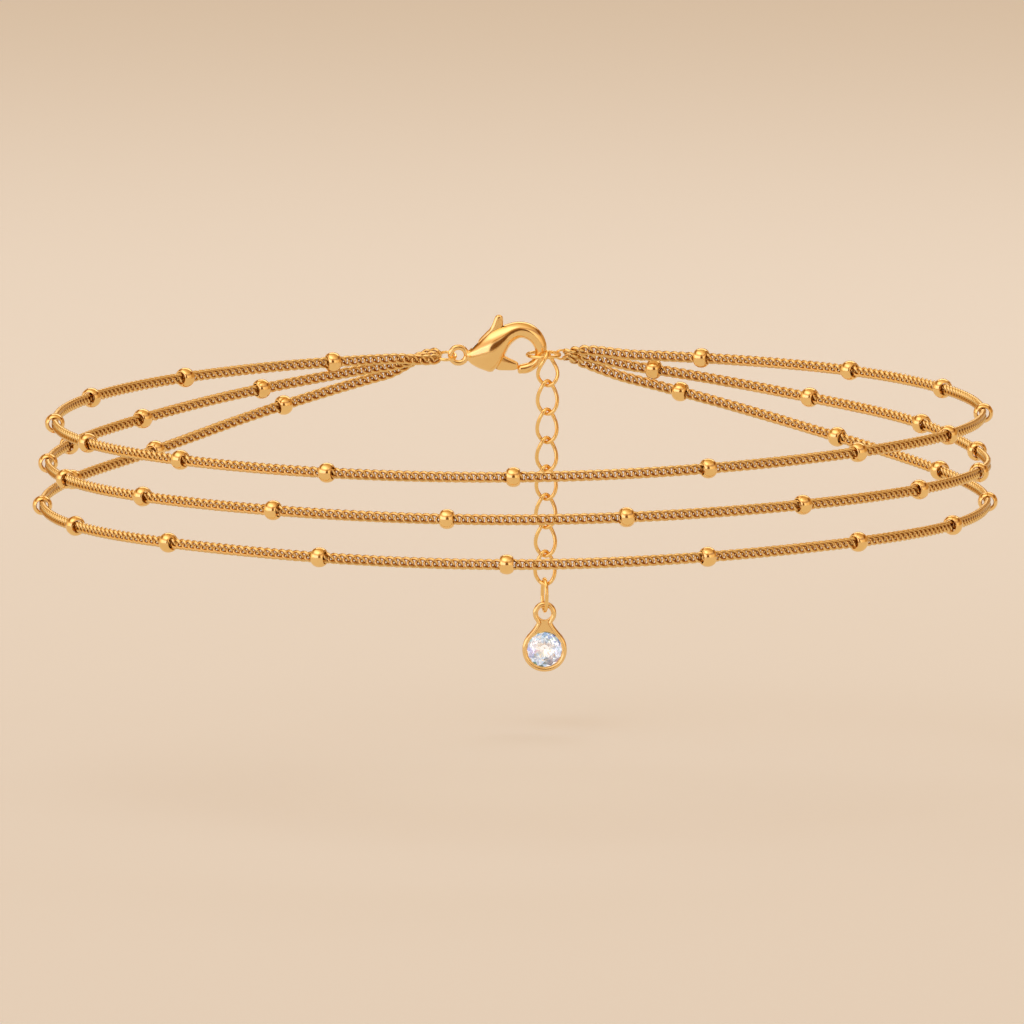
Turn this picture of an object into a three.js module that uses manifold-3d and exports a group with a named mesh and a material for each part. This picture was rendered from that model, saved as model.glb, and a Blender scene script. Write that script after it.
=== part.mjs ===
// A three-strand chain bracelet with drilled beads, a lobster clasp, an extender and a stone drop.
// Millimetres, +Z up, in the shape it has on a wrist whose axis is Z. The origin is on that axis, level
// with the top strand. The clasp is at the back (+Y) and the strands cross the front (-Y).
import * as THREE from "three";
import { mergeVertices } from "three/addons/utils/BufferGeometryUtils.js";
import Module from "manifold-3d";

const wasm = await Module();
wasm.setup();

// The chain is flat, with its flat side facing away from the wrist
const chainHeight = 0.78;
const chainDepth = 0.4;
const chainSides = 8;
const chainSteps = 64;
const beadDiameter = 1.4;
const beadLength = 1.0;
const beadFlatDiameter = 0.9; // the flat end round the bead's hole
const beadSides = 10;
const endLoopWire = 0.16;
const endLoopWidth = 0.62;
const endLoopPlay = 0.08; // clearance where an end loop bears on its ring

// Each strand's route: turn in degrees from the front (right is positive), radius about the wrist's
// axis, and height. Its beads sit at their own turns.
const strands = [
  {
    name: "strand_top",
    centreX: 0,
    stations: [
      { turn: -164, radius: 32.2, height: 0.36 },
      { turn: -150, radius: 32.45, height: 0.24 },
      { turn: -134, radius: 32.5, height: 0.09 },
      { turn: -90, radius: 32.5, height: -0.2 },
      { turn: -45, radius: 32.5, height: -0.08 },
      { turn: 0, radius: 32.5, height: 0.0 },
      { turn: 45, radius: 32.5, height: 0.45 },
      { turn: 90, radius: 32.5, height: 0.38 },
      { turn: 134, radius: 32.5, height: 0.56 },
      { turn: 150, radius: 32.45, height: 0.56 },
      { turn: 165, radius: 32.2, height: 0.6 },
    ],
    beadTurns: [
      -156, -133.6, -112.4, -88, -67.6, -46.4, -24.2, -0.7, 23.8, 46.4, 67, 90, 113.7, 134.1, 156.5,
    ],
  },
  {
    name: "strand_middle",
    centreX: -0.07,
    stations: [
      { turn: -164, radius: 32.75, height: -0.2 },
      { turn: -147, radius: 32.9, height: -1.33 },
      { turn: -126, radius: 32.9, height: -2.5 },
      { turn: -107, radius: 32.9, height: -3.05 },
      { turn: -75, radius: 32.9, height: -3.1 },
      { turn: -40, radius: 32.9, height: -2.88 },
      { turn: 0, radius: 32.9, height: -2.93 },
      { turn: 40, radius: 32.9, height: -2.73 },
      { turn: 75, radius: 32.9, height: -2.92 },
      { turn: 102, radius: 32.9, height: -3.15 },
      { turn: 122, radius: 32.9, height: -2.4 },
      { turn: 141, radius: 32.95, height: -1.75 },
      { turn: 165, radius: 32.85, height: -0.33 },
    ],
    beadTurns: [
      -146.6, -126.5, -106.8, -90, -73.7, -52.5, -31.1, -8.6, 13.2, 36.9, 58.1, 78.2, 101.8, 120.3, 141.3, 163,
    ],
  },
  {
    name: "strand_bottom",
    centreX: -0.28,
    stations: [
      { turn: -164, radius: 33.25, height: -0.9 },
      { turn: -150, radius: 33.2, height: -2.75 },
      { turn: -130, radius: 33.1, height: -4.95 },
      { turn: -110, radius: 33.1, height: -5.75 },
      { turn: -80, radius: 33.1, height: -6.0 },
      { turn: -40, radius: 33.1, height: -5.83 },
      { turn: 0, radius: 33.1, height: -6.03 },
      { turn: 40, radius: 33.1, height: -5.75 },
      { turn: 80, radius: 33.1, height: -5.9 },
      { turn: 115, radius: 33.1, height: -5.5 },
      { turn: 137, radius: 33.1, height: -4.3 },
      { turn: 159, radius: 33.25, height: -2.05 },
      { turn: 166, radius: 33.3, height: -1.2 },
    ],
    beadTurns: [-150.5, -130, -110, -88, -67.8, -46.7, -24.2, -1, 23.8, 46.1, 67.2, 90, 115.5, 136.6, 159.4],
  },
];

// The clasp and its rings lie in one upright plane at the back of the loop
const claspY = 32.0;

// Left gathering ring, through the clasp's eye, its far side a little higher
const leftRing = { x: -5.14, z: 0.42, outer: 1.54, wire: 0.22, tilt: 17 };
const leftFan = 36; // degrees between neighbouring strands' ends round the ring
const leftLoopLength = 0.72;

// Right jump ring, nearly level, and the small ring that gathers the strands on it
const jumpRing = { x: 1.74, z: 0.51, outer: 2.54, wire: 0.26, tilt: 3.4 };
const rightRing = { x: 3.0, z: 0.52, outer: 1.0, wire: 0.16, tilt: 35 };
const rightFan = 46;
const rightLoopLength = 1.15;
const rightLoopSpread = 22; // degrees that the outer two strands' end loops turn away

// Clasp body: pairs of points across its outline in the clasp's plane, and its depth there
const claspStations = [
  { top: [-3.52, 0.86], bottom: [-3.58, 0.06], depth: 0.62 },
  { top: [-3.3, 1.06], bottom: [-3.38, -0.14], depth: 0.95 },
  { top: [-2.95, 1.4], bottom: [-2.98, -0.38], depth: 1.35 },
  { top: [-2.5, 1.84], bottom: [-2.5, -0.58], depth: 1.68 },
  { top: [-2.05, 2.2], bottom: [-1.98, -0.71], depth: 1.84 },
  { top: [-1.5, 2.47], bottom: [-1.5, -0.4], depth: 1.8 },
  { top: [-0.95, 2.67], bottom: [-1.0, 0.42], depth: 1.66 },
  { top: [-0.4, 2.83], bottom: [-0.55, 1.24], depth: 1.45 },
  { top: [0.21, 2.87], bottom: [0.06, 1.69], depth: 1.28 },
  { top: [0.9, 2.69], bottom: [0.58, 1.59], depth: 1.18 },
  { top: [1.5, 2.21], bottom: [0.95, 1.26], depth: 1.08 },
  { top: [1.88, 1.52], bottom: [1.12, 0.9], depth: 0.98 },
  { top: [1.98, 0.82], bottom: [1.15, 0.62], depth: 0.9 },
  { top: [1.76, 0.12], bottom: [1.02, 0.28], depth: 0.84 },
  { top: [1.24, -0.44], bottom: [0.74, 0.02], depth: 0.8 },
  { top: [0.66, -0.78], bottom: [0.46, -0.08], depth: 0.8 },
  { top: [0.06, -0.84], bottom: [0.11, -0.16], depth: 0.78 },
];
const claspRings = 25;
const claspSides = 12;
const eye = { x: -4.27, z: 0.49, outer: 1.52, wire: 0.4 };

// Lever: its pivot, its thickness, and its outline from the thumb piece round to the gate and back
const pivot = { x: -2.35, z: 0.25, rivet: 0.5, bore: 0.56 };
const leverThickness = 0.56;
const leverBevel = 0.07;
const slotWidth = 0.66;
const leverOutline = [
  [-1.12, 2.3],
  [-1.11, 3.08],
  [-1.17, 3.28],
  [-1.32, 3.36],
  [-1.5, 3.36],
  [-1.66, 3.26],
  [-1.75, 3.05],
  [-1.88, 2.68],
  [-2.06, 2.36],
  [-2.4, 2.04],
  [-2.82, 1.6],
  [-2.92, 1.38],
  [-2.86, 0.9],
  [-2.85, 0.1],
  [-2.55, -0.17],
  [-2.15, -0.18],
  [-1.66, -0.4],
  [-1.55, -0.58],
  [-0.9, -0.6],
  [-0.06, -0.58],
  [0.0, -0.1],
  [-0.2, 0.06],
  [-1.0, 0.42],
  [-1.3, 0.8],
  [-1.36, 1.6],
];
// The slot that the lever turns in, open above the body and below its right end
const slotOutline = [
  [-1.02, 3.4],
  [-1.05, 1.5],
  [-0.9, 1.1],
  [-0.32, 1.05],
  [-0.2, -1.2],
  [-1.74, -1.2],
  [-1.8, -0.5],
  [-2.25, -0.32],
  [-2.7, -0.3],
  [-3.02, 0.1],
  [-3.2, 0.85],
  [-3.7, 1.3],
  [-3.7, 3.4],
];

// Extender links: teardrops, narrow at the top, each twisted so that the chain lies flat
const extenderX = 2.04;
const extenderLean = 0.028; // how much further left each link hangs than the one above it
const link = { count: 8, outerLength: 2.575, outerWidth: 1.62, wire: 0.21, twist: 36, firstTwist: 84 };
const linkTaper = 0.27; // 0 is an ellipse, and more makes the top narrower than the bottom
const linkPlay = 0.13; // clearance where two links bear on each other
const firstPlay = 0.01; // more of it where the first link bears on the jump ring
const linkSteps = 12;
const linkSides = 5;
const dropRing = { outerLength: 2.54, outerWidth: 1.75, wire: 0.27, turn: 12 };

// Drop: an eye, a neck and a bezel in one outline, with a raised rim and a cup behind the stone
const drop = {
  eyeOuter: 1.66,
  eyeHole: 0.92,
  eyeToStone: 2.58, // from the eye's centre down to the stone's
  bezelOuter: 3.15,
  neckWidth: 1.13,
  neckBelowEye: 0.72,
  shoulderTurn: 42, // degrees up from level where the shoulder leaves the bezel
  eyeTurn: -38, // and where the eye takes over from the neck
  rimWidth: 0.31,
  rimHeight: 0.14,
  plateThickness: 0.42,
  cupOuter: 2.84,
  cupDepth: 0.66, // behind the plate
  backHole: 0.6,
};
const dropPlay = 0.15; // between the drop's eye and the ring that it hangs on
const stone = {
  girdle: 2.46,
  table: 1.42,
  crown: 0.36,
  girdleHeight: 0.05,
  pavilion: 0.74,
  facets: 16,
  play: 0.05, // between the girdle and the bezel
  depth: 0.21, // from the bezel's front to the bottom of the girdle
};

const gold = new THREE.MeshStandardMaterial({ color: 0xe2ac55, roughness: 0.2, metalness: 1 });
const clearStone = new THREE.MeshStandardMaterial({ color: 0xeef2fb, roughness: 0.03, metalness: 0 });

const radians = THREE.MathUtils.degToRad;
const xAxis = new THREE.Vector3(1, 0, 0);
const yAxis = new THREE.Vector3(0, 1, 0);
const zAxis = new THREE.Vector3(0, 0, 1);

// A closed surface through rings of points that all have the same count. A skin that isn't a loop
// gets a fan over each end ring.
function skin(rings, loop) {
  const count = rings[0].length;
  const points = rings.flat();
  const faces = [];
  const spans = loop ? rings.length : rings.length - 1;
  for (let i = 0; i < spans; i++) {
    const here = i * count;
    const next = ((i + 1) % rings.length) * count;
    for (let j = 0; j < count; j++) {
      const k = (j + 1) % count;
      faces.push(here + j, here + k, next + k, here + j, next + k, next + j);
    }
  }
  if (!loop) {
    for (const [ring, flip] of [[0, true], [rings.length - 1, false]]) {
      const middle = new THREE.Vector3();
      rings[ring].forEach((point) => middle.addScaledVector(point, 1 / count));
      points.push(middle);
      for (let j = 0; j < count; j++) {
        const edge = [ring * count + j, ring * count + ((j + 1) % count)];
        if (flip) edge.reverse();
        faces.push(...edge, points.length - 1);
      }
    }
  }
  const geometry = new THREE.BufferGeometry().setFromPoints(points);
  geometry.setIndex(faces);
  return geometry;
}

// A round wire along a closed curve.
function closedWire(curve, wire, steps, sides) {
  const frames = curve.computeFrenetFrames(steps, true);
  const rings = [];
  for (let i = 0; i < steps; i++) {
    const centre = curve.getPointAt(i / steps);
    const ring = [];
    for (let j = 0; j < sides; j++) {
      const a = (2 * Math.PI * j) / sides;
      ring.push(
        centre
          .clone()
          .addScaledVector(frames.normals[i], (Math.cos(a) * wire) / 2)
          .addScaledVector(frames.binormals[i], (Math.sin(a) * wire) / 2),
      );
    }
    rings.push(ring);
  }
  return skin(rings, true);
}

// An oval wire loop of outer length and width about a centre, in the plane of two directions.
function ovalWire(centre, along, across, outerLength, outerWidth, wire, steps, sides) {
  const points = [];
  for (let i = 0; i < steps; i++) {
    const a = (2 * Math.PI * i) / steps;
    points.push(
      centre
        .clone()
        .addScaledVector(along, (Math.cos(a) * (outerLength - wire)) / 2)
        .addScaledVector(across, (Math.sin(a) * (outerWidth - wire)) / 2),
    );
  }
  return closedWire(new THREE.CatmullRomCurve3(points, true), wire, steps, sides);
}

// A geometry as a solid, whichever way its faces wind.
function solidOf(geometry) {
  const bare = geometry.clone();
  bare.deleteAttribute("normal");
  bare.deleteAttribute("uv");
  const merged = mergeVertices(bare, 1e-4);
  const triVerts = new Uint32Array(merged.index.array);
  const vertProperties = merged.attributes.position.array;
  const made = new wasm.Manifold(new wasm.Mesh({ numProp: 3, vertProperties, triVerts }));
  if (made.volume() > 0) return made;
  triVerts.reverse();
  return new wasm.Manifold(new wasm.Mesh({ numProp: 3, vertProperties, triVerts }));
}

function geometryOf(solid) {
  const mesh = solid.getMesh();
  const geometry = new THREE.BufferGeometry();
  geometry.setAttribute("position", new THREE.BufferAttribute(mesh.vertProperties, 3));
  geometry.setIndex(new THREE.BufferAttribute(mesh.triVerts, 1));
  return geometry;
}

function joined(geometries) {
  return geometries.map(solidOf).reduce((sum, next) => sum.add(next));
}

function meshOf(name, solid, material) {
  const geometry = geometryOf(solid);
  geometry.computeVertexNormals();
  const mesh = new THREE.Mesh(geometry, material);
  mesh.name = name;
  return mesh;
}

// The row between stations at a turn: a smooth curve through them, searched by halves.
function stationAt(table, turn) {
  let low = 0;
  let high = 1;
  for (let i = 0; i < 40; i++) {
    const middle = (low + high) / 2;
    if (table.getPoint(middle).x < turn) low = middle;
    else high = middle;
  }
  return table.getPoint(low);
}

function routePoint(strand, table, turn) {
  const at = stationAt(table, turn);
  const a = radians(turn);
  return new THREE.Vector3(strand.centreX + at.y * Math.sin(a), -at.y * Math.cos(a), at.z);
}

// A ring's centre, and two directions in its plane: across the clasp's plane is side, along it is xAxis.
function ringFrame(ring) {
  const side = yAxis.clone().applyAxisAngle(xAxis, radians(ring.tilt));
  return { centre: new THREE.Vector3(ring.x, claspY, ring.z), side, radius: (ring.outer - ring.wire) / 2 };
}

// Where a strand's end loop bears on its gathering ring, and which way the loop leads from there.
// Order is -1 for the strand nearest the wrist's axis, 0 and 1 for the ones outside it.
function leftLead(order) {
  const { centre, side, radius } = ringFrame(leftRing);
  const a = radians(leftFan * order);
  const away = xAxis.clone().multiplyScalar(-Math.cos(a)).addScaledVector(side, Math.sin(a));
  const start = centre.clone().addScaledVector(away, radius);
  const across = new THREE.Vector3().crossVectors(side, xAxis).normalize();
  return { start, away, across, length: leftLoopLength, bearing: leftRing.wire };
}

function rightLead(order) {
  const up = zAxis.clone().applyAxisAngle(xAxis, radians(rightRing.tilt));
  const radius = (rightRing.outer - rightRing.wire) / 2;
  const a = radians(rightFan * order);
  const start = new THREE.Vector3(rightRing.x, claspY, rightRing.z)
    .addScaledVector(xAxis, Math.cos(a) * radius)
    .addScaledVector(up, -Math.sin(a) * radius);
  const tangent = xAxis.clone().multiplyScalar(Math.sin(a)).addScaledVector(up, Math.cos(a));
  const turned = radians(rightLoopSpread * order);
  const away = new THREE.Vector3(Math.cos(turned), Math.sin(turned), -0.6 * Math.sin(turned)).normalize();
  const across = new THREE.Vector3().crossVectors(away, tangent).normalize();
  return { start, away, across, length: rightLoopLength, bearing: rightRing.wire };
}

// An end loop, and the point where the chain goes on from it.
function endLoop(lead) {
  const inner = lead.bearing / 2 + endLoopWire / 2 + endLoopPlay;
  const centreline = lead.length - endLoopWire;
  const centre = lead.start.clone().addScaledVector(lead.away, centreline / 2 - inner);
  return {
    geometry: ovalWire(centre, lead.away, lead.across, lead.length, endLoopWidth, endLoopWire, 12, 5),
    end: centre.clone().addScaledVector(lead.away, centreline / 2),
  };
}

// A strand's curve with frames that keep the section upright, so the chain's flat side faces out.
class UprightRoute extends THREE.CatmullRomCurve3 {
  computeFrenetFrames(steps) {
    const tangents = [];
    const normals = [];
    const binormals = [];
    for (let i = 0; i <= steps; i++) {
      const tangent = this.getTangentAt(i / steps);
      const outward = new THREE.Vector3().crossVectors(tangent, zAxis).normalize();
      tangents.push(tangent);
      normals.push(outward);
      binormals.push(new THREE.Vector3().crossVectors(tangent, outward));
    }
    return { tangents, normals, binormals };
  }
}

// A bead about its own Z, barrel-shaped with flat ends.
function beadProfile() {
  const half = beadLength / 2;
  const flat = beadFlatDiameter / 2;
  const side = beadDiameter / 2;
  return [
    [0, -half],
    [flat, -half],
    [side, -half * 0.4],
    [side, half * 0.4],
    [flat, half],
    [0, half],
  ].map(([r, z]) => new THREE.Vector2(r, z));
}

function strandMesh(strand, order) {
  const table = new THREE.CatmullRomCurve3(
    strand.stations.map((row) => new THREE.Vector3(row.turn, row.radius, row.height)),
  );
  const first = strand.stations[0].turn;
  const last = strand.stations.at(-1).turn;
  const left = endLoop(leftLead(order));
  const right = endLoop(rightLead(order));
  const spans = Math.round((last - first) / 4.5);
  const points = [left.end];
  for (let i = 0; i <= spans; i++) {
    points.push(routePoint(strand, table, first + ((last - first) * i) / spans));
  }
  points.push(right.end);

  const section = new THREE.Shape();
  for (let j = 0; j < chainSides; j++) {
    const a = (2 * Math.PI * (j + 0.5)) / chainSides;
    const grow = 1 / Math.cos(Math.PI / chainSides);
    const at = [(Math.cos(a) * chainDepth * grow) / 2, (Math.sin(a) * chainHeight * grow) / 2];
    if (j) section.lineTo(...at);
    else section.moveTo(...at);
  }
  const chain = new THREE.ExtrudeGeometry(section, {
    steps: chainSteps,
    extrudePath: new UprightRoute(points, false, "centripetal"),
  });

  const profile = beadProfile();
  const beads = strand.beadTurns.map((turn) => {
    const bead = new THREE.LatheGeometry(profile, beadSides);
    const here = routePoint(strand, table, turn);
    const ahead = routePoint(strand, table, turn + 0.5).sub(here).normalize();
    bead.applyQuaternion(new THREE.Quaternion().setFromUnitVectors(yAxis, ahead));
    return bead.translate(here.x, here.y, here.z);
  });
  return meshOf(strand.name, joined([chain, left.geometry, right.geometry, ...beads]), gold);
}

// A round ring across the clasp's plane, its far side raised by its tilt.
function roundRing(name, ring, steps) {
  const { centre, side } = ringFrame(ring);
  const geometry = ovalWire(centre, xAxis, side, ring.outer, ring.outer, ring.wire, steps, 6);
  return meshOf(name, solidOf(geometry), gold);
}

function smallRing() {
  const up = zAxis.clone().applyAxisAngle(xAxis, radians(rightRing.tilt));
  const centre = new THREE.Vector3(rightRing.x, claspY, rightRing.z);
  const geometry = ovalWire(centre, xAxis, up, rightRing.outer, rightRing.outer, rightRing.wire, 14, 6);
  return meshOf("right_ring", solidOf(geometry), gold);
}

// A flat outline in the clasp's plane, as thick as stated and centred on that plane.
function plate(outline, thickness, bevel) {
  const shape = new THREE.Shape(outline.map(([x, z]) => new THREE.Vector2(x, z)));
  const geometry = new THREE.ExtrudeGeometry(shape, {
    depth: thickness - 2 * bevel,
    bevelEnabled: bevel > 0,
    bevelThickness: bevel,
    bevelSize: bevel,
    bevelOffset: -bevel,
    bevelSegments: 1,
    curveSegments: 6,
  });
  geometry.translate(0, 0, bevel - thickness / 2);
  geometry.rotateX(Math.PI / 2);
  return geometry.translate(0, claspY, 0);
}

// The clasp's body and hook: a skin through oval sections between the outline's two sides.
function claspSkin() {
  const curves = ["top", "bottom"].map((side) => {
    const points = claspStations.map((row) => new THREE.Vector3(row[side][0], 0, row[side][1]));
    return new THREE.CatmullRomCurve3(points);
  });
  const depthPoints = claspStations.map((row, i) => new THREE.Vector3(i, row.depth, 0));
  const depths = new THREE.CatmullRomCurve3(depthPoints);
  const rings = [];
  for (let i = 0; i <= claspRings; i++) {
    const [top, bottom] = curves.map((curve) => curve.getPoint(i / claspRings));
    const depth = depths.getPoint(i / claspRings).y;
    const ring = [];
    for (let j = 0; j < claspSides; j++) {
      const a = (2 * Math.PI * j) / claspSides;
      const point = bottom.clone().lerp(top, (1 + Math.cos(a)) / 2);
      point.y = claspY + (Math.sin(a) * depth) / 2;
      ring.push(point);
    }
    rings.push(ring);
  }
  return skin(rings, false);
}

function claspBody() {
  const eyeCentre = new THREE.Vector3(eye.x, claspY, eye.z);
  const eyeRing = ovalWire(eyeCentre, xAxis, zAxis, eye.outer, eye.outer, eye.wire, 16, 8);
  const rivet = new THREE.CylinderGeometry(pivot.rivet / 2, pivot.rivet / 2, slotWidth + 0.4, 10);
  rivet.translate(pivot.x, claspY, pivot.z);
  const slotted = solidOf(claspSkin()).subtract(solidOf(plate(slotOutline, slotWidth, 0)));
  return meshOf("clasp_body", slotted.add(solidOf(eyeRing)).add(solidOf(rivet)), gold);
}

function claspLever() {
  const body = plate(leverOutline, leverThickness, leverBevel);
  const hole = new THREE.CylinderGeometry(pivot.bore / 2, pivot.bore / 2, 2 * leverThickness, 12);
  hole.translate(pivot.x, claspY, pivot.z);
  return meshOf("clasp_lever", solidOf(body).subtract(solidOf(hole)), gold);
}

// One teardrop link hanging from its top: its half width turns from one twist at the top to the
// other at the bottom.
function teardropLink(name, x, y, top, topTwist, bottomTwist) {
  const halfLength = (link.outerLength - link.wire) / 2;
  const halfWidth = (link.outerWidth - link.wire) / 2;
  const widest = 1 + linkTaper ** 2 / 2; // the most that the taper adds to the width
  const points = [];
  for (let i = 0; i < linkSteps; i++) {
    const a = (2 * Math.PI * i) / linkSteps;
    const down = (1 - Math.cos(a)) / 2;
    const twist = radians(topTwist + (bottomTwist - topTwist) * down);
    const width = (halfWidth * Math.sin(a) * (1 - linkTaper * Math.cos(a))) / widest;
    points.push(
      new THREE.Vector3(
        x + width * Math.cos(twist),
        y + width * Math.sin(twist),
        top - link.wire / 2 - 2 * halfLength * down,
      ),
    );
  }
  const curve = new THREE.CatmullRomCurve3(points, true);
  return meshOf(name, solidOf(closedWire(curve, link.wire, linkSteps, linkSides)), gold);
}

// The extender hangs from the front of the jump ring. Returns its meshes and where the drop hangs.
function extender() {
  const ring = ringFrame(jumpRing);
  const lean = Math.asin((extenderX - ring.centre.x) / ring.radius);
  const y = ring.centre.y - ring.radius * Math.cos(lean);
  const ringZ = ring.centre.z - ring.radius * Math.sin(radians(jumpRing.tilt));
  let top = ringZ + jumpRing.wire / 2 + link.wire + linkPlay + firstPlay;
  const meshes = [];
  for (let i = 0; i < link.count; i++) {
    const name = "extender_link_" + (i + 1);
    const x = extenderX - extenderLean * i;
    meshes.push(teardropLink(name, x, y, top, i ? link.twist : link.firstTwist, -link.twist));
    top -= link.outerLength - 2 * link.wire - linkPlay;
  }
  const hangX = extenderX - extenderLean * link.count;
  const ringTop = top + dropRing.wire - link.wire;
  const hang = new THREE.Vector3(hangX, y, ringTop - dropRing.outerLength / 2);
  const across = yAxis.clone().applyAxisAngle(zAxis, radians(dropRing.turn));
  const oval = ovalWire(hang, zAxis, across, dropRing.outerLength, dropRing.outerWidth, dropRing.wire, 14, 6);
  meshes.push(meshOf("drop_ring", solidOf(oval), gold));
  const wireCentre = new THREE.Vector3(hangX, y, ringTop - dropRing.outerLength + dropRing.wire / 2);
  return { meshes, wireCentre };
}

// The drop's outline about its stone, moved in by an inset: bezel arc, hollow shoulders, eye arc.
function dropOutline(inset) {
  const bezel = drop.bezelOuter / 2 - inset;
  const eyeRadius = drop.eyeOuter / 2 - inset;
  const neck = drop.neckWidth / 2 - inset;
  const neckZ = drop.eyeToStone - drop.neckBelowEye;
  const bezelEnd = radians(drop.shoulderTurn);
  const eyeEnd = radians(drop.eyeTurn);
  const shoulder = [bezel * Math.cos(bezelEnd), bezel * Math.sin(bezelEnd)];
  const reach = 0.36; // how far the shoulder runs on straight from the bezel
  const flare = [shoulder[0] - reach * Math.sin(bezelEnd), shoulder[1] + reach * Math.cos(bezelEnd)];
  const hollow = [neck + 0.1, neckZ - 0.2];
  const throat = [neck, neckZ + 0.1];
  const eyeStart = [eyeRadius * Math.cos(eyeEnd), drop.eyeToStone + eyeRadius * Math.sin(eyeEnd)];
  const shape = new THREE.Shape();
  shape.absarc(0, 0, bezel, Math.PI - bezelEnd, bezelEnd, false);
  shape.bezierCurveTo(...flare, ...hollow, neck, neckZ);
  shape.quadraticCurveTo(...throat, ...eyeStart);
  shape.absarc(0, drop.eyeToStone, eyeRadius, eyeEnd, Math.PI - eyeEnd, false);
  shape.quadraticCurveTo(-throat[0], throat[1], -neck, neckZ);
  shape.bezierCurveTo(-hollow[0], hollow[1], -flare[0], flare[1], -shoulder[0], shoulder[1]);
  return shape;
}

// A layer of the drop, from one depth to another behind its front.
function dropLayer(shape, from, to, segments) {
  const settings = { depth: to - from, bevelEnabled: false, curveSegments: segments };
  const geometry = new THREE.ExtrudeGeometry(shape, settings);
  return geometry.translate(0, 0, -to).rotateX(Math.PI / 2);
}

function dropSetting() {
  const hole = new THREE.Shape().absarc(0, drop.eyeToStone, drop.eyeHole / 2, 0, 2 * Math.PI, false);
  const seatRadius = stone.girdle / 2 + stone.play;
  const seat = new THREE.Shape().absarc(0, 0, seatRadius, 0, 2 * Math.PI, false);
  const cup = new THREE.Shape().absarc(0, 0, drop.cupOuter / 2, 0, 2 * Math.PI, false);
  const back = drop.plateThickness + drop.cupDepth;
  const seatEnd = stone.depth + stone.play; // where the seat's straight wall gives way to its cone
  let solid = solidOf(dropLayer(dropOutline(0), 0, drop.plateThickness, 7));
  solid = solid.add(solidOf(dropLayer(cup, drop.plateThickness - 0.05, back, 8)));
  solid = solid.subtract(solidOf(dropLayer(dropOutline(drop.rimWidth), -0.1, drop.rimHeight, 7)));
  solid = solid.subtract(solidOf(dropLayer(hole, -0.2, back, 5)));
  solid = solid.subtract(solidOf(dropLayer(seat, -0.1, seatEnd, 8)));
  const cone = new THREE.CylinderGeometry(seatRadius, drop.backHole / 2, back - seatEnd, 16);
  cone.rotateX(Math.PI).translate(0, (seatEnd + back) / 2, 0);
  return solid.subtract(solidOf(cone));
}

// A round brilliant: an eight-sided table, and facets from it to the girdle and on to the culet.
function brilliant() {
  const girdle = stone.girdle / 2;
  const girdleFront = stone.depth - stone.girdleHeight;
  const levels = [
    { radius: stone.table / 2, depth: girdleFront - stone.crown, eightSided: true },
    { radius: girdle, depth: girdleFront },
    { radius: girdle, depth: stone.depth },
    { radius: 0.03, depth: stone.depth + stone.pavilion },
  ];
  const step = (2 * Math.PI) / stone.facets;
  const rings = levels.map(({ radius, depth, eightSided }) =>
    Array.from({ length: stone.facets }, (_, j) => {
      const r = eightSided && j % 2 ? radius * Math.cos(step) : radius;
      return new THREE.Vector3(r * Math.cos(j * step), depth, r * Math.sin(j * step));
    }),
  );
  return solidOf(skin(rings, false));
}

// The drop hangs with its eye on the bottom wire of the drop ring.
function hungDrop(wireCentre) {
  const meshes = [meshOf("drop_setting", dropSetting(), gold), meshOf("drop_stone", brilliant(), clearStone)];
  const eyeZ = wireCentre.z + dropRing.wire / 2 + dropPlay - drop.eyeHole / 2;
  meshes.forEach((mesh) => {
    mesh.position.set(wireCentre.x, wireCentre.y - drop.plateThickness / 2, eyeZ - drop.eyeToStone);
  });
  return meshes;
}

const parts = new THREE.Group();
strands.forEach((strand, i) => parts.add(strandMesh(strand, i - 1)));
parts.add(roundRing("left_ring", leftRing, 14), roundRing("jump_ring", jumpRing, 16), smallRing());
parts.add(claspBody(), claspLever());
const hung = extender();
parts.add(...hung.meshes, ...hungDrop(hung.wireCentre));

export default parts;
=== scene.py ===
# Layered curb-chain bracelet with drilled beads, lobster clasp, extender and stone drop.
# Shapes are worked out in millimetres and put into the meshes in metres.
# Open fault: the chains' last links cut into the gathering rings and into one another, and the
# lever overlaps the clasp's shell inside it.
import math

import bmesh
import bpy
import numpy as np
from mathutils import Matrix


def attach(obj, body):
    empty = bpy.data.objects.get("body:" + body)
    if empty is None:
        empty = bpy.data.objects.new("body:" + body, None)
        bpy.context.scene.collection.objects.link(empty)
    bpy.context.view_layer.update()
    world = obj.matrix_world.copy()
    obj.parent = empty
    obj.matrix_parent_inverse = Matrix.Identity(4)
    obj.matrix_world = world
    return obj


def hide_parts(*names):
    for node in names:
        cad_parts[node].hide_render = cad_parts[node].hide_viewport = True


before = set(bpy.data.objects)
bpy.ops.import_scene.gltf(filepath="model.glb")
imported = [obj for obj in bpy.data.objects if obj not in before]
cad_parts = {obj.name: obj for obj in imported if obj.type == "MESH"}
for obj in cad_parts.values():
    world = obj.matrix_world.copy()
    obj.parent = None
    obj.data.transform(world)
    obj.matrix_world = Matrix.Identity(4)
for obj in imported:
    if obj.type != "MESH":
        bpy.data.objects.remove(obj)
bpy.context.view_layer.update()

mm = 0.001
xAxis = np.array([1.0, 0.0, 0.0])
yAxis = np.array([0.0, 1.0, 0.0])
zAxis = np.array([0.0, 0.0, 1.0])

# The wrist's axis is Z, the clasp is at the back (+Y) and the strands cross the front (-Y)
claspPlane = 32.0

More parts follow.
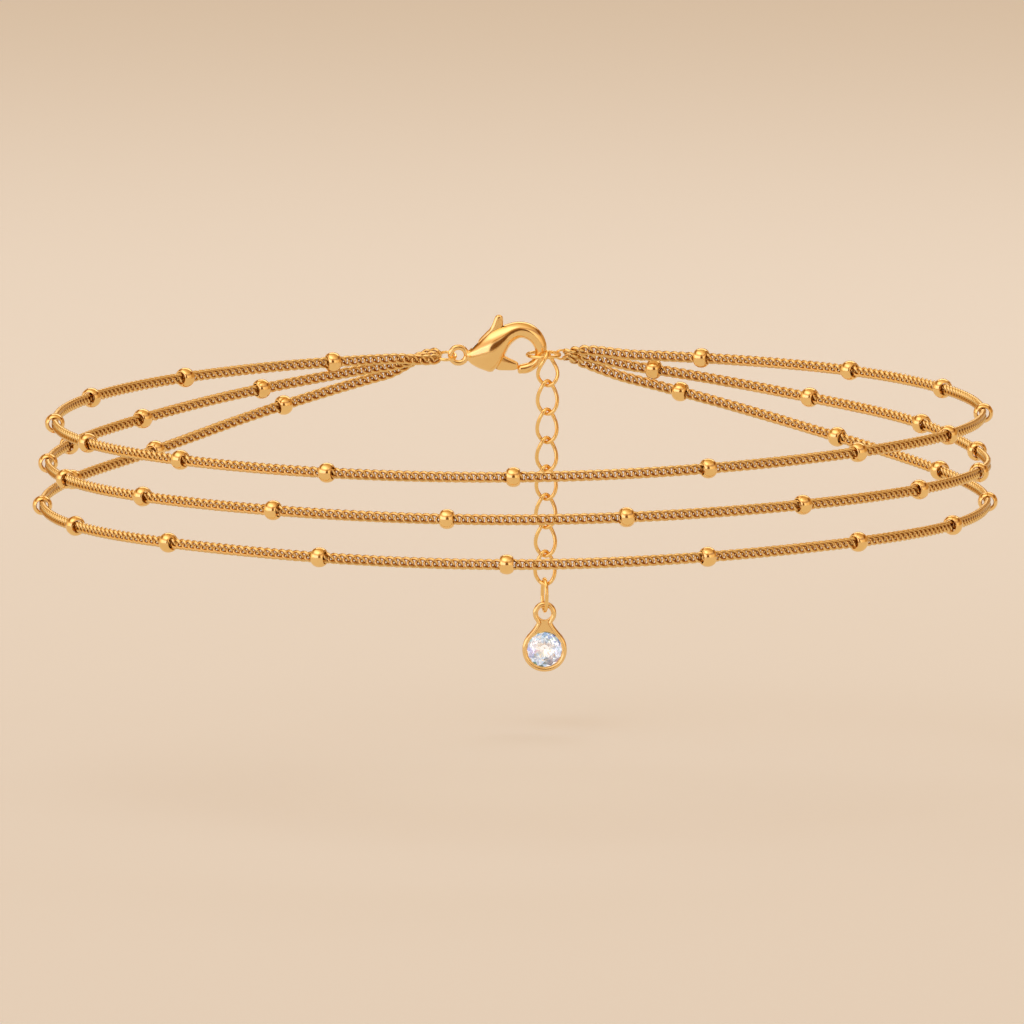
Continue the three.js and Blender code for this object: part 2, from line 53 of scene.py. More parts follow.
strandSettings = {
    "top": {
        "node": "strand_top",
        "order": -1,  # nearest the wrist's axis where the strands gather
        "centreX": 0.0,
        "stations": [  # turn from the front in degrees, radius about the wrist's axis, height
            (-164, 32.2, 0.36), (-150, 32.45, 0.24), (-134, 32.5, 0.09), (-90, 32.5, -0.2),
            (-45, 32.5, -0.08), (0, 32.5, 0.0), (45, 32.5, 0.45), (90, 32.5, 0.38),
            (134, 32.5, 0.56), (150, 32.45, 0.56), (165, 32.2, 0.6),
        ],
        "beadTurns": [-156, -133.6, -112.4, -88, -67.6, -46.4, -24.2, -0.7,
                      23.8, 46.4, 67, 90, 113.7, 134.1, 156.5],
    },
    "middle": {
        "node": "strand_middle",
        "order": 0,
        "centreX": -0.07,
        "stations": [
            (-164, 32.75, -0.2), (-147, 32.9, -1.33), (-126, 32.9, -2.5), (-107, 32.9, -3.05),
            (-75, 32.9, -3.1), (-40, 32.9, -2.88), (0, 32.9, -2.93), (40, 32.9, -2.73),
            (75, 32.9, -2.92), (102, 32.9, -3.15), (122, 32.9, -2.4), (141, 32.95, -1.75),
            (165, 32.85, -0.33),
        ],
        "beadTurns": [-146.6, -126.5, -106.8, -90, -73.7, -52.5, -31.1, -8.6,
                      13.2, 36.9, 58.1, 78.2, 101.8, 120.3, 141.3, 163],
    },
    "bottom": {
        "node": "strand_bottom",
        "order": 1,
        "centreX": -0.28,
        "stations": [
            (-164, 33.25, -0.9), (-150, 33.2, -2.75), (-130, 33.1, -4.95), (-110, 33.1, -5.75),
            (-80, 33.1, -6.0), (-40, 33.1, -5.83), (0, 33.1, -6.03), (40, 33.1, -5.75),
            (80, 33.1, -5.9), (115, 33.1, -5.5), (137, 33.1, -4.3), (159, 33.25, -2.05),
            (166, 33.3, -1.2),
        ],
        "beadTurns": [-150.5, -130, -110, -88, -67.8, -46.7, -24.2, -1,
                      23.8, 46.1, 67.2, 90, 115.5, 136.6, 159.4],
    },
}


# Meshes from arrays

def gridFaces(rows, columns, rowsClose):
    # quads between neighbouring rows and columns of a grid of points: the columns wrap round, and
    # the rows do where they close
    i, j = np.meshgrid(np.arange(rows if rowsClose else rows - 1), np.arange(columns), indexing="ij")
    nextI = (i + 1) % rows
    nextJ = (j + 1) % columns
    corners = [i * columns + j, i * columns + nextJ, nextI * columns + nextJ, nextI * columns + j]
    return np.stack([c.ravel() for c in corners], axis=1)


def facingOut(points, faces):
    # turns every face round if the volume that they enclose comes out negative
    a = points[faces[:, 0]]
    volume = 0.0
    for k in range(1, faces.shape[1] - 1):
        volume += np.einsum("ij,ij->i", a, np.cross(points[faces[:, k]], points[faces[:, k + 1]])).sum()
    return faces if volume > 0 else faces[:, ::-1]


def makeObject(name, points, faces, material, smooth=True):
    mesh = bpy.data.meshes.new(name)
    mesh.from_pydata((np.asarray(points) * mm).tolist(), [], [list(face) for face in faces])
    mesh.polygons.foreach_set("use_smooth", [smooth] * len(mesh.polygons))
    mesh.materials.append(material)
    mesh.update()
    piece = bpy.data.objects.new(name, mesh)
    bpy.context.scene.collection.objects.link(piece)
    return piece


def copiesOfGrid(grids):
    # one set of points and faces for a stack of closed grids that are all laid out alike
    count, rows, columns = grids.shape[:3]
    one = gridFaces(rows, columns, True)
    one = facingOut(grids[0].reshape(-1, 3), one)
    offsets = np.arange(count)[:, None, None] * (rows * columns)
    return grids.reshape(-1, 3), (one[None] + offsets).reshape(-1, 4)


def joinedShells(shells):
    # shells are pairs of points and faces, put one after the other
    points, faces, start = [], [], 0
    for shellPoints, shellFaces in shells:
        points.append(shellPoints)
        faces.extend((np.array(face) + start).tolist() for face in shellFaces)
        start += len(shellPoints)
    return np.concatenate(points), faces


def unit(v):
    return v / np.linalg.norm(v, axis=-1, keepdims=True)


def wireGrid(centres, wire, sides, reference):
    # a round wire along a closed curve: each ring stands square to the curve, its first spoke
    # as near to the reference direction as it can be
    tangents = unit(np.roll(centres, -1, axis=0) - np.roll(centres, 1, axis=0))
    spoke = unit(reference - tangents * (tangents @ reference)[:, None])
    other = np.cross(tangents, spoke)
    a = np.linspace(0, 2 * np.pi, sides, endpoint=False)
    ring = np.cos(a)[None, :, None] * spoke[:, None] + np.sin(a)[None, :, None] * other[:, None]
    return centres[:, None] + ring * wire / 2


def ovalCentres(centre, along, across, length, width, wire, steps):
    # an ellipse through the middle of the wire, from its outer length and width
    a = np.linspace(0, 2 * np.pi, steps, endpoint=False)[:, None]
    return centre + np.cos(a) * along * (length - wire) / 2 + np.sin(a) * across * (width - wire) / 2


def sharpenEdges(piece, angle):
    # edges whose faces meet at more than this many degrees are left sharp
    work = bmesh.new()
    work.from_mesh(piece.data)
    for edge in work.edges:
        edge.smooth = len(edge.link_faces) == 2 and edge.calc_face_angle(0.0) < math.radians(angle)
    work.to_mesh(piece.data)
    work.free()


def finishPiece(piece, body, nodes=()):
    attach(piece, body)
    if nodes:
        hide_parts(*nodes)
    return piece


# Finishes

goldSettings = {
    "chain": {"color": (0.95, 0.7, 0.31), "roughness": 0.13, "grain": 1800.0, "bump": 0.02},
    "wire": {"color": (1.0, 0.71, 0.29), "roughness": 0.12, "grain": 900.0, "bump": 0.015},
    "clasp": {"color": (1.0, 0.72, 0.32), "roughness": 0.13, "grain": 500.0, "bump": 0.01},
    "bead": {"color": (1.0, 0.71, 0.3), "roughness": 0.13, "grain": 900.0, "bump": 0.015},
    "setting": {"color": (1.0, 0.73, 0.34), "roughness": 0.14, "grain": 700.0, "bump": 0.012},
}


plateSettings = {
    "drift": (0.94, 0.91, 0.84),  # the darker patches' colour, as a share of the gold's
    "paintedDarkening": (0.5, 0.3, 0.08),  # and that of the painted shade, where little light reaches the metal
    "driftScale": 0.35,  # as a share of the grain's
    "polish": (0.75, 1.3),  # from the smoothest patch to the dullest, as a share of the roughness
    "grainDepth": 0.0002,
}


def shaded(color, shares):
    return (*[part * share for part, share in zip(color, shares)], 1)


def goldFinish(name):
    # polished plate: a slow drift in roughness and shade, painted shade where a mesh's mask attribute marks
    # it, and a very fine unevenness in the surface
    facts = goldSettings[name]
    material = bpy.data.materials.new(name + "Gold")
    material.use_nodes = True
    nodes = material.node_tree.nodes
    links = material.node_tree.links
    shader = nodes["Principled BSDF"]
    shader.inputs["Metallic"].default_value = 1.0
    place = nodes.new("ShaderNodeTexCoord")
    drift = nodes.new("ShaderNodeTexNoise")
    drift.inputs["Scale"].default_value = facts["grain"] * plateSettings["driftScale"]
    drift.inputs["Detail"].default_value = 3.0
    links.new(place.outputs["Object"], drift.inputs["Vector"])
    shade = nodes.new("ShaderNodeValToRGB")
    color = facts["color"]
    shade.color_ramp.elements[0].position = 0.3
    shade.color_ramp.elements[0].color = shaded(color, plateSettings["drift"])
    shade.color_ramp.elements[1].position = 0.7
    shade.color_ramp.elements[1].color = (*color, 1)
    links.new(drift.outputs["Fac"], shade.inputs["Fac"])
    # painted shade: the colour goes to a darker gold where the mesh's mask attribute is 1
    paintedDarkening = nodes.new("ShaderNodeAttribute")
    paintedDarkening.attribute_name = "paintedShadeMask"
    deep = nodes.new("ShaderNodeMix")
    deep.data_type = "RGBA"
    deep.inputs["B"].default_value = shaded(color, plateSettings["paintedDarkening"])
    links.new(paintedDarkening.outputs["Fac"], deep.inputs["Factor"])
    links.new(shade.outputs["Color"], deep.inputs["A"])
    links.new(deep.outputs["Result"], shader.inputs["Base Color"])
    polish = nodes.new("ShaderNodeMapRange")
    smoothest, dullest = plateSettings["polish"]
    polish.inputs["To Min"].default_value = facts["roughness"] * smoothest
    polish.inputs["To Max"].default_value = facts["roughness"] * dullest
    links.new(drift.outputs["Fac"], polish.inputs["Value"])
    links.new(polish.outputs["Result"], shader.inputs["Roughness"])
    grain = nodes.new("ShaderNodeTexNoise")
    grain.inputs["Scale"].default_value = facts["grain"]
    grain.inputs["Detail"].default_value = 2.0
    links.new(place.outputs["Object"], grain.inputs["Vector"])
    bump = nodes.new("ShaderNodeBump")
    bump.inputs["Strength"].default_value = facts["bump"]
    bump.inputs["Distance"].default_value = plateSettings["grainDepth"]
    links.new(grain.outputs["Fac"], bump.inputs["Height"])
    links.new(bump.outputs["Normal"], shader.inputs["Normal"])
    return material


golds = {name: goldFinish(name) for name in goldSettings}
print("gold finishes made")


# Gathering rings and where the strands' ends lie on them

ringSettings = {
    "left": {"node": "left_ring", "x": -5.14, "z": 0.42, "outer": 1.54, "wire": 0.22, "tilt": 17},
    "jump": {"node": "jump_ring", "x": 1.74, "z": 0.51, "outer": 2.54, "wire": 0.26, "tilt": 3.4},
    "right": {"node": "right_ring", "x": 3.0, "z": 0.52, "outer": 1.0, "wire": 0.16, "tilt": 35},
    "leftFan": 36,  # degrees round the ring from one strand's end to the next
    "rightFan": 46,
    "rightSpread": 22,  # degrees that the outer strands' ends turn away
    "rightDrop": 0.6,  # how steeply they drop as they do
    "steps": 64,
    "sides": 14,
}


def tiltedPlane(ring):
    # centre, and the direction across the clasp's plane with its far side raised
    a = math.radians(ring["tilt"])
    return np.array([ring["x"], claspPlane, ring["z"]]), np.array([0, math.cos(a), math.sin(a)])


def uprightPlane(ring):
    # centre, and the direction up from it with its top leaning to the front
    a = math.radians(ring["tilt"])
    return np.array([ring["x"], claspPlane, ring["z"]]), np.array([0, -math.sin(a), math.cos(a)])


def makeRings():
    for name in ("left", "jump", "right"):
        ring = ringSettings[name]
        centre, side = uprightPlane(ring) if name == "right" else tiltedPlane(ring)
        steps, outer = ringSettings["steps"], ring["outer"]
        centres = ovalCentres(centre, xAxis, side, outer, outer, ring["wire"], steps)
        grid = wireGrid(centres, ring["wire"], ringSettings["sides"], np.cross(xAxis, side))
        piece = makeObject(name + "RingWire", *copiesOfGrid(grid[None]), golds["wire"])
        finishPiece(piece, "bracelet", [ring["node"]])


def leftLead(order):
    ring = ringSettings["left"]
    centre, side = tiltedPlane(ring)
    a = math.radians(ringSettings["leftFan"] * order)
    away = -xAxis * math.cos(a) + side * math.sin(a)
    return centre + away * (ring["outer"] - ring["wire"]) / 2, away


def rightLead(order):
    ring = ringSettings["right"]
    centre, up = uprightPlane(ring)
    radius = (ring["outer"] - ring["wire"]) / 2
    a = math.radians(ringSettings["rightFan"] * order)
    start = centre + xAxis * math.cos(a) * radius - up * math.sin(a) * radius
    turned = math.radians(ringSettings["rightSpread"] * order)
    drop = -ringSettings["rightDrop"] * math.sin(turned)
    return start, unit(np.array([math.cos(turned), math.sin(turned), drop]))


makeRings()
print("rings made")


# Strands

def smoothAlong(at, stations, column):
    # a cubic between neighbouring stations, its slope at each one that of the line through the
    # stations on either side
    table = np.array(stations, float)
    xs, ys = table[:, 0], table[:, column]
    slopes = np.gradient(ys, xs)
    i = np.clip(np.searchsorted(xs, at) - 1, 0, len(xs) - 2)
    w = xs[i + 1] - xs[i]
    u = (at - xs[i]) / w
    rise = slopes[i] * w * u * (1 - u) ** 2 + slopes[i + 1] * w * u * u * (u - 1)
    return ys[i] * (1 + 2 * u) * (1 - u) ** 2 + ys[i + 1] * u * u * (3 - 2 * u) + rise


def pointsAtTurns(strand, turns):
    radius = smoothAlong(turns, strand["stations"], 1)
    height = smoothAlong(turns, strand["stations"], 2)
    a = np.radians(turns)
    return np.stack([strand["centreX"] + radius * np.sin(a), -radius * np.cos(a), height], axis=1)


def bridge(start, startWay, end, endWay, steps):
    # a cubic that leaves one point along one direction and arrives at another along the other
    reach = np.linalg.norm(end - start)
    u = np.linspace(0, 1, steps, endpoint=False)[:, None]
    h1 = (1 + 2 * u) * (1 - u) ** 2
    h2 = u * (1 - u) ** 2
    h3 = u * u * (3 - 2 * u)
    h4 = u * u * (u - 1)
    return h1 * start + h2 * reach * startWay + h3 * end + h4 * reach * endWay


routeSettings = {"arcSteps": 900, "endSteps": 40, "step": 0.1}


def strandRoute(strand):
    # the strand's line from the left ring round the front to the right ring, as even small steps
    stations = strand["stations"]
    turns = np.linspace(stations[0][0], stations[-1][0], routeSettings["arcSteps"])
    arc = pointsAtTurns(strand, turns)
    leftStart, leftAway = leftLead(strand["order"])
    rightStart, rightAway = rightLead(strand["order"])
    steps = routeSettings["endSteps"]
    leftPart = bridge(leftStart, leftAway, arc[0], unit(arc[1] - arc[0]), steps)
    rightPart = bridge(rightStart, rightAway, arc[-1], unit(arc[-2] - arc[-1]), steps)
    line = np.concatenate([leftPart, arc, rightPart[::-1]])
    run = np.concatenate([[0], np.cumsum(np.linalg.norm(np.diff(line, axis=0), axis=1))])
    even = np.linspace(0, run[-1], int(run[-1] / routeSettings["step"]))
    points = np.stack([np.interp(even, run, line[:, k]) for k in range(3)], axis=1)
    tangents = unit(np.gradient(points, axis=0))
    return {"run": even, "points": points, "tangents": tangents}


def framesAt(route, run):
    # position, tangent, outward and upright directions at lengths along a route
    place, tangent = [
        np.stack([np.interp(run, route["run"], route[key][:, k]) for k in range(3)], axis=1)
        for key in ("points", "tangents")
    ]
    tangent = unit(tangent)
    outward = unit(np.cross(tangent, zAxis))
    return place, tangent, outward, np.cross(outward, tangent)


chainSettings = {
    "pitch": 0.58,
    "halfLength": 0.45,  # of a link's centreline, along the chain
    "halfHeight": 0.285,
    "taper": 0.2,  # how much longer a link is along its lower edge than along its upper one
    "crossing": 0.1,  # how far a link's ends twist out of the chain's plane
    "wire": 0.24,
    "around": 14,
    "sides": 6,
    "hold": 0.34,  # from a gathering ring's wire to the first link's centre
    "rollOut": 2.2,  # length over which the chain turns flat again after the right ring
    "paintedShadeSlope": 0.95,  # how fast the painted shade comes on round the wire
    "paintedShadeStart": 0.25,  # and how much of it there is halfway
}


def curbLink():
    # one link about its own centre: an oval, longer below than above, whose centreline swings out
    # and back twice a turn, so that each end crosses its neighbour's
    facts = chainSettings
    t = np.linspace(0, 2 * np.pi, facts["around"], endpoint=False)
    along = facts["halfLength"] * np.cos(t) * (1 - facts["taper"] * np.sin(t))
    swing = facts["crossing"] * np.sin(2 * t)
    centres = np.stack([along, swing, facts["halfHeight"] * np.sin(t)], axis=1)
    return wireGrid(centres, facts["wire"], facts["sides"], yAxis)


def paintedShadeShare(link):
    # painted shade: 1 on the side of a link's wire that faces its middle, falling to 0 round the outside
    centres = link.mean(axis=1, keepdims=True)
    inward = unit(-centres * (1, 0, 1))
    facing = (unit(link - centres) * inward).sum(axis=2)
    return np.clip(facing * chainSettings["paintedShadeSlope"] + chainSettings["paintedShadeStart"], 0, 1).ravel()


def makeChain(name, strand, route):
    facts = chainSettings
    length = route["run"][-1]
    span = length - 2 * facts["hold"]
    count = int(round(span / facts["pitch"])) + 1
    run = np.linspace(facts["hold"], length - facts["hold"], count)
    place, tangent, outward, upright = framesAt(route, run)
    left = np.clip((length - run) / facts["rollOut"], 0, 1)
    roll = (np.pi / 2) * (1 - left) ** 2 * (1 + 2 * left)
    out = outward * np.cos(roll)[:, None] + upright * np.sin(roll)[:, None]
    up = upright * np.cos(roll)[:, None] - outward * np.sin(roll)[:, None]
    link = curbLink()
    grids = (
        place[:, None, None]
        + link[None, ..., 0:1] * tangent[:, None, None]
        + link[None, ..., 1:2] * out[:, None, None]
        + link[None, ..., 2:3] * up[:, None, None]
    )
    piece = makeObject(name + "Chain", *copiesOfGrid(grids), golds["chain"])
    # painted shade on the inner sides of the links' wires
    paintedShadeMask = piece.data.attributes.new("paintedShadeMask", "FLOAT", "POINT")
    paintedShadeMask.data.foreach_set("value", np.tile(paintedShadeShare(link), count))
    finishPiece(piece, "bracelet", [strand["node"]])
    print(name, "chain:", count, "links,", round(length, 1), "mm")


beadSettings = {
    "diameter": 1.4,
    "length": 0.96,
    "hole": 0.8,
    "lip": 0.06,  # how far the rounded mouth of the hole runs out from the hole
    "fullness": 0.3,  # 1 is an ellipse's bulge, and less is a squarer barrel
    "around": 28,
    "steps": 34,
    "glance": 0.4,  # degrees to either side of a bead that its strand's direction is taken over
}


def beadSection():
    # the bead's wall cut through as a closed loop: a squared half ellipse bulging over the barrel,
    # and a much flatter half ellipse back through the hole
    facts = beadSettings
    t = np.linspace(0, 2 * np.pi, facts["steps"], endpoint=False)
    lip = facts["lip"]
    bulge = (facts["diameter"] - facts["hole"]) / 2 - lip
    out = np.cos(t)
    reach = np.where(out > 0, bulge * np.abs(out) ** facts["fullness"], lip)
    radius = facts["hole"] / 2 + lip + out * reach
    return radius, facts["length"] / 2 * np.sin(t)


def makeBeads(name, strand):
    facts = beadSettings
    turns = np.array(strand["beadTurns"], float)
    place = pointsAtTurns(strand, turns)
    glance = facts["glance"]
    tangent = unit(pointsAtTurns(strand, turns + glance) - pointsAtTurns(strand, turns - glance))
    outward = unit(np.cross(tangent, zAxis))
    upright = np.cross(outward, tangent)
    radius, along = beadSection()
    a = np.linspace(0, 2 * np.pi, facts["around"], endpoint=False)
    spoke = np.cos(a)[None, :, None] * outward[:, None] + np.sin(a)[None, :, None] * upright[:, None]
    grids = (
        place[:, None, None]
        + radius[None, :, None, None] * spoke[:, None]
        + along[None, :, None, None] * tangent[:, None, None]
    )
    piece = makeObject(name + "Beads", *copiesOfGrid(grids), golds["bead"])
    finishPiece(piece, "bracelet")


for strandName, strandFacts in strandSettings.items():
    makeChain(strandName, strandFacts, strandRoute(strandFacts))
    makeBeads(strandName, strandFacts)
print("strands made")


# Extender

extenderSettings = {
    "x": 2.04,
    "lean": 0.028,  # how much further left each link hangs than the one above it
    "links": 8,
    "outerLength": 2.575,
    "outerWidth": 1.62,
    "taper": 0.27,  # 0 is an ellipse, and more makes the top narrower than the bottom
    "wire": 0.21,
    "fuller": 0.03,  # all round, how much more of the wire is seen than the thinner solid has
    "twist": 36,  # degrees either way from flat, at a link's top and bottom
    "firstTwist": 84,
    "play": 0.13,
    "firstPlay": 0.01,  # more of it where the first link bears on the jump ring
    "ringLength": 2.54,
    "ringWidth": 1.75,
    "ringWire": 0.27,
    "ringTurn": 12,
    "steps": 60,
    "sides": 12,
}


def extenderTop():
    # where the first link's top lies over the front of the jump ring
    ring = ringSettings["jump"]
    radius = (ring["outer"] - ring["wire"]) / 2
    lean = math.asin((extenderSettings["x"] - ring["x"]) / radius)
    depth = claspPlane - radius * math.cos(lean)
    height = ring["z"] - radius * math.sin(math.radians(ring["tilt"]))
    facts = extenderSettings
    return depth, height + ring["wire"] / 2 + facts["wire"] + facts["play"] + facts["firstPlay"]


def makeExtender():
    # each link is a teardrop, its width taken round the upright as it goes down, so that its top
    # and its bottom are twisted opposite ways; the long ring under them is a plain oval
    facts = extenderSettings
    depth, top = extenderTop()
    wire = facts["wire"]
    t = np.linspace(0, 2 * np.pi, facts["steps"], endpoint=False)
    down = (1 - np.cos(t)) / 2
    taper = facts["taper"]
    width = (facts["outerWidth"] - wire) / 2 * np.sin(t) * (1 - taper * np.cos(t)) / (1 + taper**2 / 2)
    for i in range(facts["links"]):
        topTwist = facts["twist"] if i else facts["firstTwist"]
        twist = np.radians(topTwist - (topTwist + facts["twist"]) * down)
        centres = np.stack(
            [
                facts["x"] - facts["lean"] * i + width * np.cos(twist),
                depth + width * np.sin(twist),
                top - wire / 2 - (facts["outerLength"] - wire) * down,
            ],
            axis=1,
        )
        grid = wireGrid(centres, wire + 2 * facts["fuller"], facts["sides"], yAxis)
        piece = makeObject("extenderLink" + str(i + 1), *copiesOfGrid(grid[None]), golds["wire"])
        finishPiece(piece, "bracelet", ["extender_link_" + str(i + 1)])
        top -= facts["outerLength"] - 2 * wire - facts["play"]
    x = facts["x"] - facts["lean"] * facts["links"]
    top += facts["ringWire"] - wire
    turn = math.radians(facts["ringTurn"])
    across = np.array([-math.sin(turn), math.cos(turn), 0])
    centre = np.array([x, depth, top - facts["ringLength"] / 2])
    length, width, wire = facts["ringLength"], facts["ringWidth"], facts["ringWire"]
    centres = ovalCentres(centre, zAxis, across, length, width, wire, ringSettings["steps"])
    grid = wireGrid(centres, wire, ringSettings["sides"], np.cross(zAxis, across))
    piece = makeObject("dropRingWire", *copiesOfGrid(grid[None]), golds["wire"])
    finishPiece(piece, "bracelet", ["drop_ring"])
    return np.array([x, depth, top - facts["ringLength"] + facts["ringWire"] / 2])


dropWire = makeExtender()
print("extender made")


# Clasp

claspSettings = {
    "stations": [  # top edge x and z, bottom edge x and z, depth, from the eye round to the hook's tip
        (-3.52, 0.86, -3.58, 0.06, 0.62), (-3.3, 1.06, -3.38, -0.14, 0.95),
        (-2.95, 1.4, -2.98, -0.38, 1.35), (-2.5, 1.84, -2.5, -0.58, 1.68),
        (-2.05, 2.2, -1.98, -0.71, 1.84), (-1.5, 2.47, -1.5, -0.4, 1.8),
        (-0.95, 2.67, -1.0, 0.42, 1.66), (-0.4, 2.83, -0.55, 1.24, 1.45),
        (0.21, 2.87, 0.06, 1.69, 1.28), (0.9, 2.69, 0.58, 1.59, 1.18),
        (1.5, 2.21, 0.95, 1.26, 1.08), (1.88, 1.52, 1.12, 0.9, 0.98),
        (1.98, 0.82, 1.15, 0.62, 0.9), (1.76, 0.12, 1.02, 0.28, 0.84),
        (1.24, -0.44, 0.74, 0.02, 0.8), (0.66, -0.78, 0.46, -0.08, 0.8),
        (0.06, -0.84, 0.11, -0.16, 0.78),
    ],
    "rings": 120,
    "sides": 48,
    "domeReach": 0.55,  # of an end's dome, as a share of half the end's height
    "domeRises": [22, 45, 66, 80],  # degrees up the dome of each of its rings
    "sharp": 38,  # degrees between faces past which an edge stays sharp
    "eye": {"x": -4.27, "z": 0.49, "outer": 1.52, "wire": 0.4, "steps": 64, "sides": 16, "sharp": 50},
    "slotWidth": 0.66,
    "slot": [  # x and z round the slot that the lever turns in
        (-1.02, 3.4), (-1.05, 1.5), (-0.9, 1.1), (-0.32, 1.05), (-0.2, -1.2), (-1.74, -1.2),
        (-1.8, -0.5), (-2.25, -0.32), (-2.7, -0.3), (-3.02, 0.1), (-3.2, 0.85), (-3.7, 1.3),
        (-3.7, 3.4),
    ],
    "pivot": {"x": -2.35, "z": 0.25, "rivet": 0.5, "bore": 0.56, "grip": 0.2, "steps": 32},
}

leverSettings = {
    "outline": [  # x and z from the thumb piece's root over its tip, down and along the gate
        (-1.12, 2.3), (-1.11, 3.08), (-1.17, 3.28), (-1.32, 3.36), (-1.5, 3.36), (-1.66, 3.26),
        (-1.75, 3.05), (-1.88, 2.68), (-2.06, 2.36), (-2.4, 2.04), (-2.82, 1.6), (-2.92, 1.38), (-2.86, 0.9),
        (-2.85, 0.1), (-2.55, -0.17), (-2.15, -0.18), (-1.66, -0.4), (-1.55, -0.58), (-0.9, -0.6),
        (-0.06, -0.58), (0.0, -0.1), (-0.2, 0.06), (-1.0, 0.42), (-1.3, 0.8), (-1.36, 1.6),
    ],
    "thickness": 0.56,
    "rounding": 0.2,
    "ease": 0.6,  # the inset at a bend, as a share of the bend's radius
    "evening": 6,  # passes that even out the insets, and how far neighbours may differ after one
    "eveningStep": 0.02,
    "cornerPasses": 3,
    "roundSteps": 6,
    "sharp": 40,
}


def makeSolid(name, points, faces, material, smooth=True):
    # like makeObject, for closed shapes whose faces may point either way to begin with
    piece = makeObject(name, points, faces, material, smooth)
    work = bmesh.new()
    work.from_mesh(piece.data)
    bmesh.ops.recalc_face_normals(work, faces=work.faces)
    work.to_mesh(piece.data)
    work.free()
    return piece


def cappedGrid(grid):
    # a tube of rings closed by one flat face at either end
    rows, columns = grid.shape[:2]
    faces = gridFaces(rows, columns, False).tolist()
    faces.append(list(range(columns)))
    faces.append(list(range((rows - 1) * columns, rows * columns)))
    return grid.reshape(-1, 3), faces


def layeredOutline(outlines, depths):
    # outlines of x and z, each at its depth along Y
    flat = np.stack(outlines)
    deep = np.broadcast_to(np.asarray(depths, float)[:, None], flat.shape[:2])
    return np.stack([flat[..., 0], deep, flat[..., 1]], axis=2)


def circleOutline(x, z, radius, steps):
    a = np.linspace(0, 2 * np.pi, steps, endpoint=False)
    return np.stack([x + radius * np.cos(a), z + radius * np.sin(a)], axis=1)


def cutAway(piece, cutters):
    for cutter in cutters:
        cut = piece.modifiers.new("cut", "BOOLEAN")
        cut.operation = "DIFFERENCE"
        cut.solver = "EXACT"
        cut.object = cutter
    view = bpy.context.evaluated_depsgraph_get()
    piece.data = bpy.data.meshes.new_from_object(piece.evaluated_get(view))
    piece.modifiers.clear()
    for cutter in cutters:
        bpy.data.objects.remove(cutter)


def makeClaspBody():
    # an ellipse between the top edge and the bottom edge, carried round from the eye to the tip,
    # its ends drawn in over the last bit as a dome
    facts = claspSettings
    rows = np.array(facts["stations"])
    table = np.column_stack([np.arange(len(rows)), rows])
    at = np.linspace(0, len(rows) - 1, facts["rings"])
    topX, topZ, bottomX, bottomZ, depth = [smoothAlong(at, table, k) for k in range(1, 6)]
    top = np.stack([topX, np.full_like(topX, claspPlane), topZ], axis=1)
    bottom = np.stack([bottomX, np.full_like(topX, claspPlane), bottomZ], axis=1)
    a = np.linspace(0, 2 * np.pi, facts["sides"], endpoint=False)
    middle, half = (top + bottom) / 2, (top - bottom) / 2
    grid = (
        middle[:, None]
        + np.cos(a)[None, :, None] * half[:, None]
        + np.sin(a)[None, :, None] * (depth[:, None, None] / 2) * yAxis
    )
    domes = []
    for end, inner in ((0, 1), (-1, -2)):
        way = unit(middle[end] - middle[inner])
        reach = np.linalg.norm(half[end]) * facts["domeReach"]
        rise = np.radians(np.array(facts["domeRises"]))[:, None, None]
        domes.append(middle[end] + (grid[end] - middle[end]) * np.cos(rise) + way * reach * np.sin(rise))
    grid = np.concatenate([domes[0][::-1], grid, domes[1]])
    body = makeSolid("claspBodyShell", *cappedGrid(grid), golds["clasp"])
    half = facts["slotWidth"] / 2
    outline = np.array(facts["slot"])
    slot = layeredOutline([outline, outline], [claspPlane - half, claspPlane + half])
    cutAway(body, [makeSolid("slotCutter", *cappedGrid(slot), golds["clasp"])])
    sharpenEdges(body, facts["sharp"])
    finishPiece(body, "bracelet", ["clasp_body"])
    eye = facts["eye"]
    centre = np.array([eye["x"], claspPlane, eye["z"]])
    centres = ovalCentres(centre, xAxis, zAxis, eye["outer"], eye["outer"], eye["wire"], eye["steps"])
    ring = wireGrid(centres, eye["wire"], eye["sides"], yAxis)
    pivot = facts["pivot"]
    outline = circleOutline(pivot["x"], pivot["z"], pivot["rivet"] / 2, pivot["steps"])
    reach = half + pivot["grip"]
    rivet = layeredOutline([outline, outline], [claspPlane - reach, claspPlane + reach])
    shells = joinedShells([copiesOfGrid(ring[None]), cappedGrid(rivet)])
    fittings = makeSolid("claspEyeAndRivet", *shells, golds["clasp"])
    sharpenEdges(fittings, eye["sharp"])
    finishPiece(fittings, "bracelet")


def cutCorners(outline, passes):
    # each pass swaps every corner for two points, a quarter of the way along the sides next to it
    for _ in range(passes):
        following = np.roll(outline, -1, axis=0)
        pair = [outline * 0.75 + following * 0.25, outline * 0.25 + following * 0.75]
        outline = np.stack(pair, axis=1).reshape(-1, 2)
    return outline


def inwardWays(outline):
    # square to the outline and into it, shorter where the outline turns too tightly to be moved
    # in by a whole rounding
    following, before = np.roll(outline, -1, axis=0), np.roll(outline, 1, axis=0)
    area = (outline[:, 0] * following[:, 1] - following[:, 0] * outline[:, 1]).sum()
    along = unit(following - before)
    first, second = unit(outline - before), unit(following - outline)
    turned = (first[:, 0] * second[:, 1] - first[:, 1] * second[:, 0]) * np.sign(area)
    bend = np.linalg.norm(following - before, axis=1) / 2 / np.maximum(turned, 0.001)
    reach = np.clip(leverSettings["ease"] * bend / leverSettings["rounding"], 0, 1)
    for _ in range(leverSettings["evening"]):
        reach = np.minimum(reach, (np.roll(reach, 1) + np.roll(reach, -1)) / 2 + leverSettings["eveningStep"])
    return np.stack([-along[:, 1], along[:, 0]], axis=1) * np.sign(area) * reach[:, None]


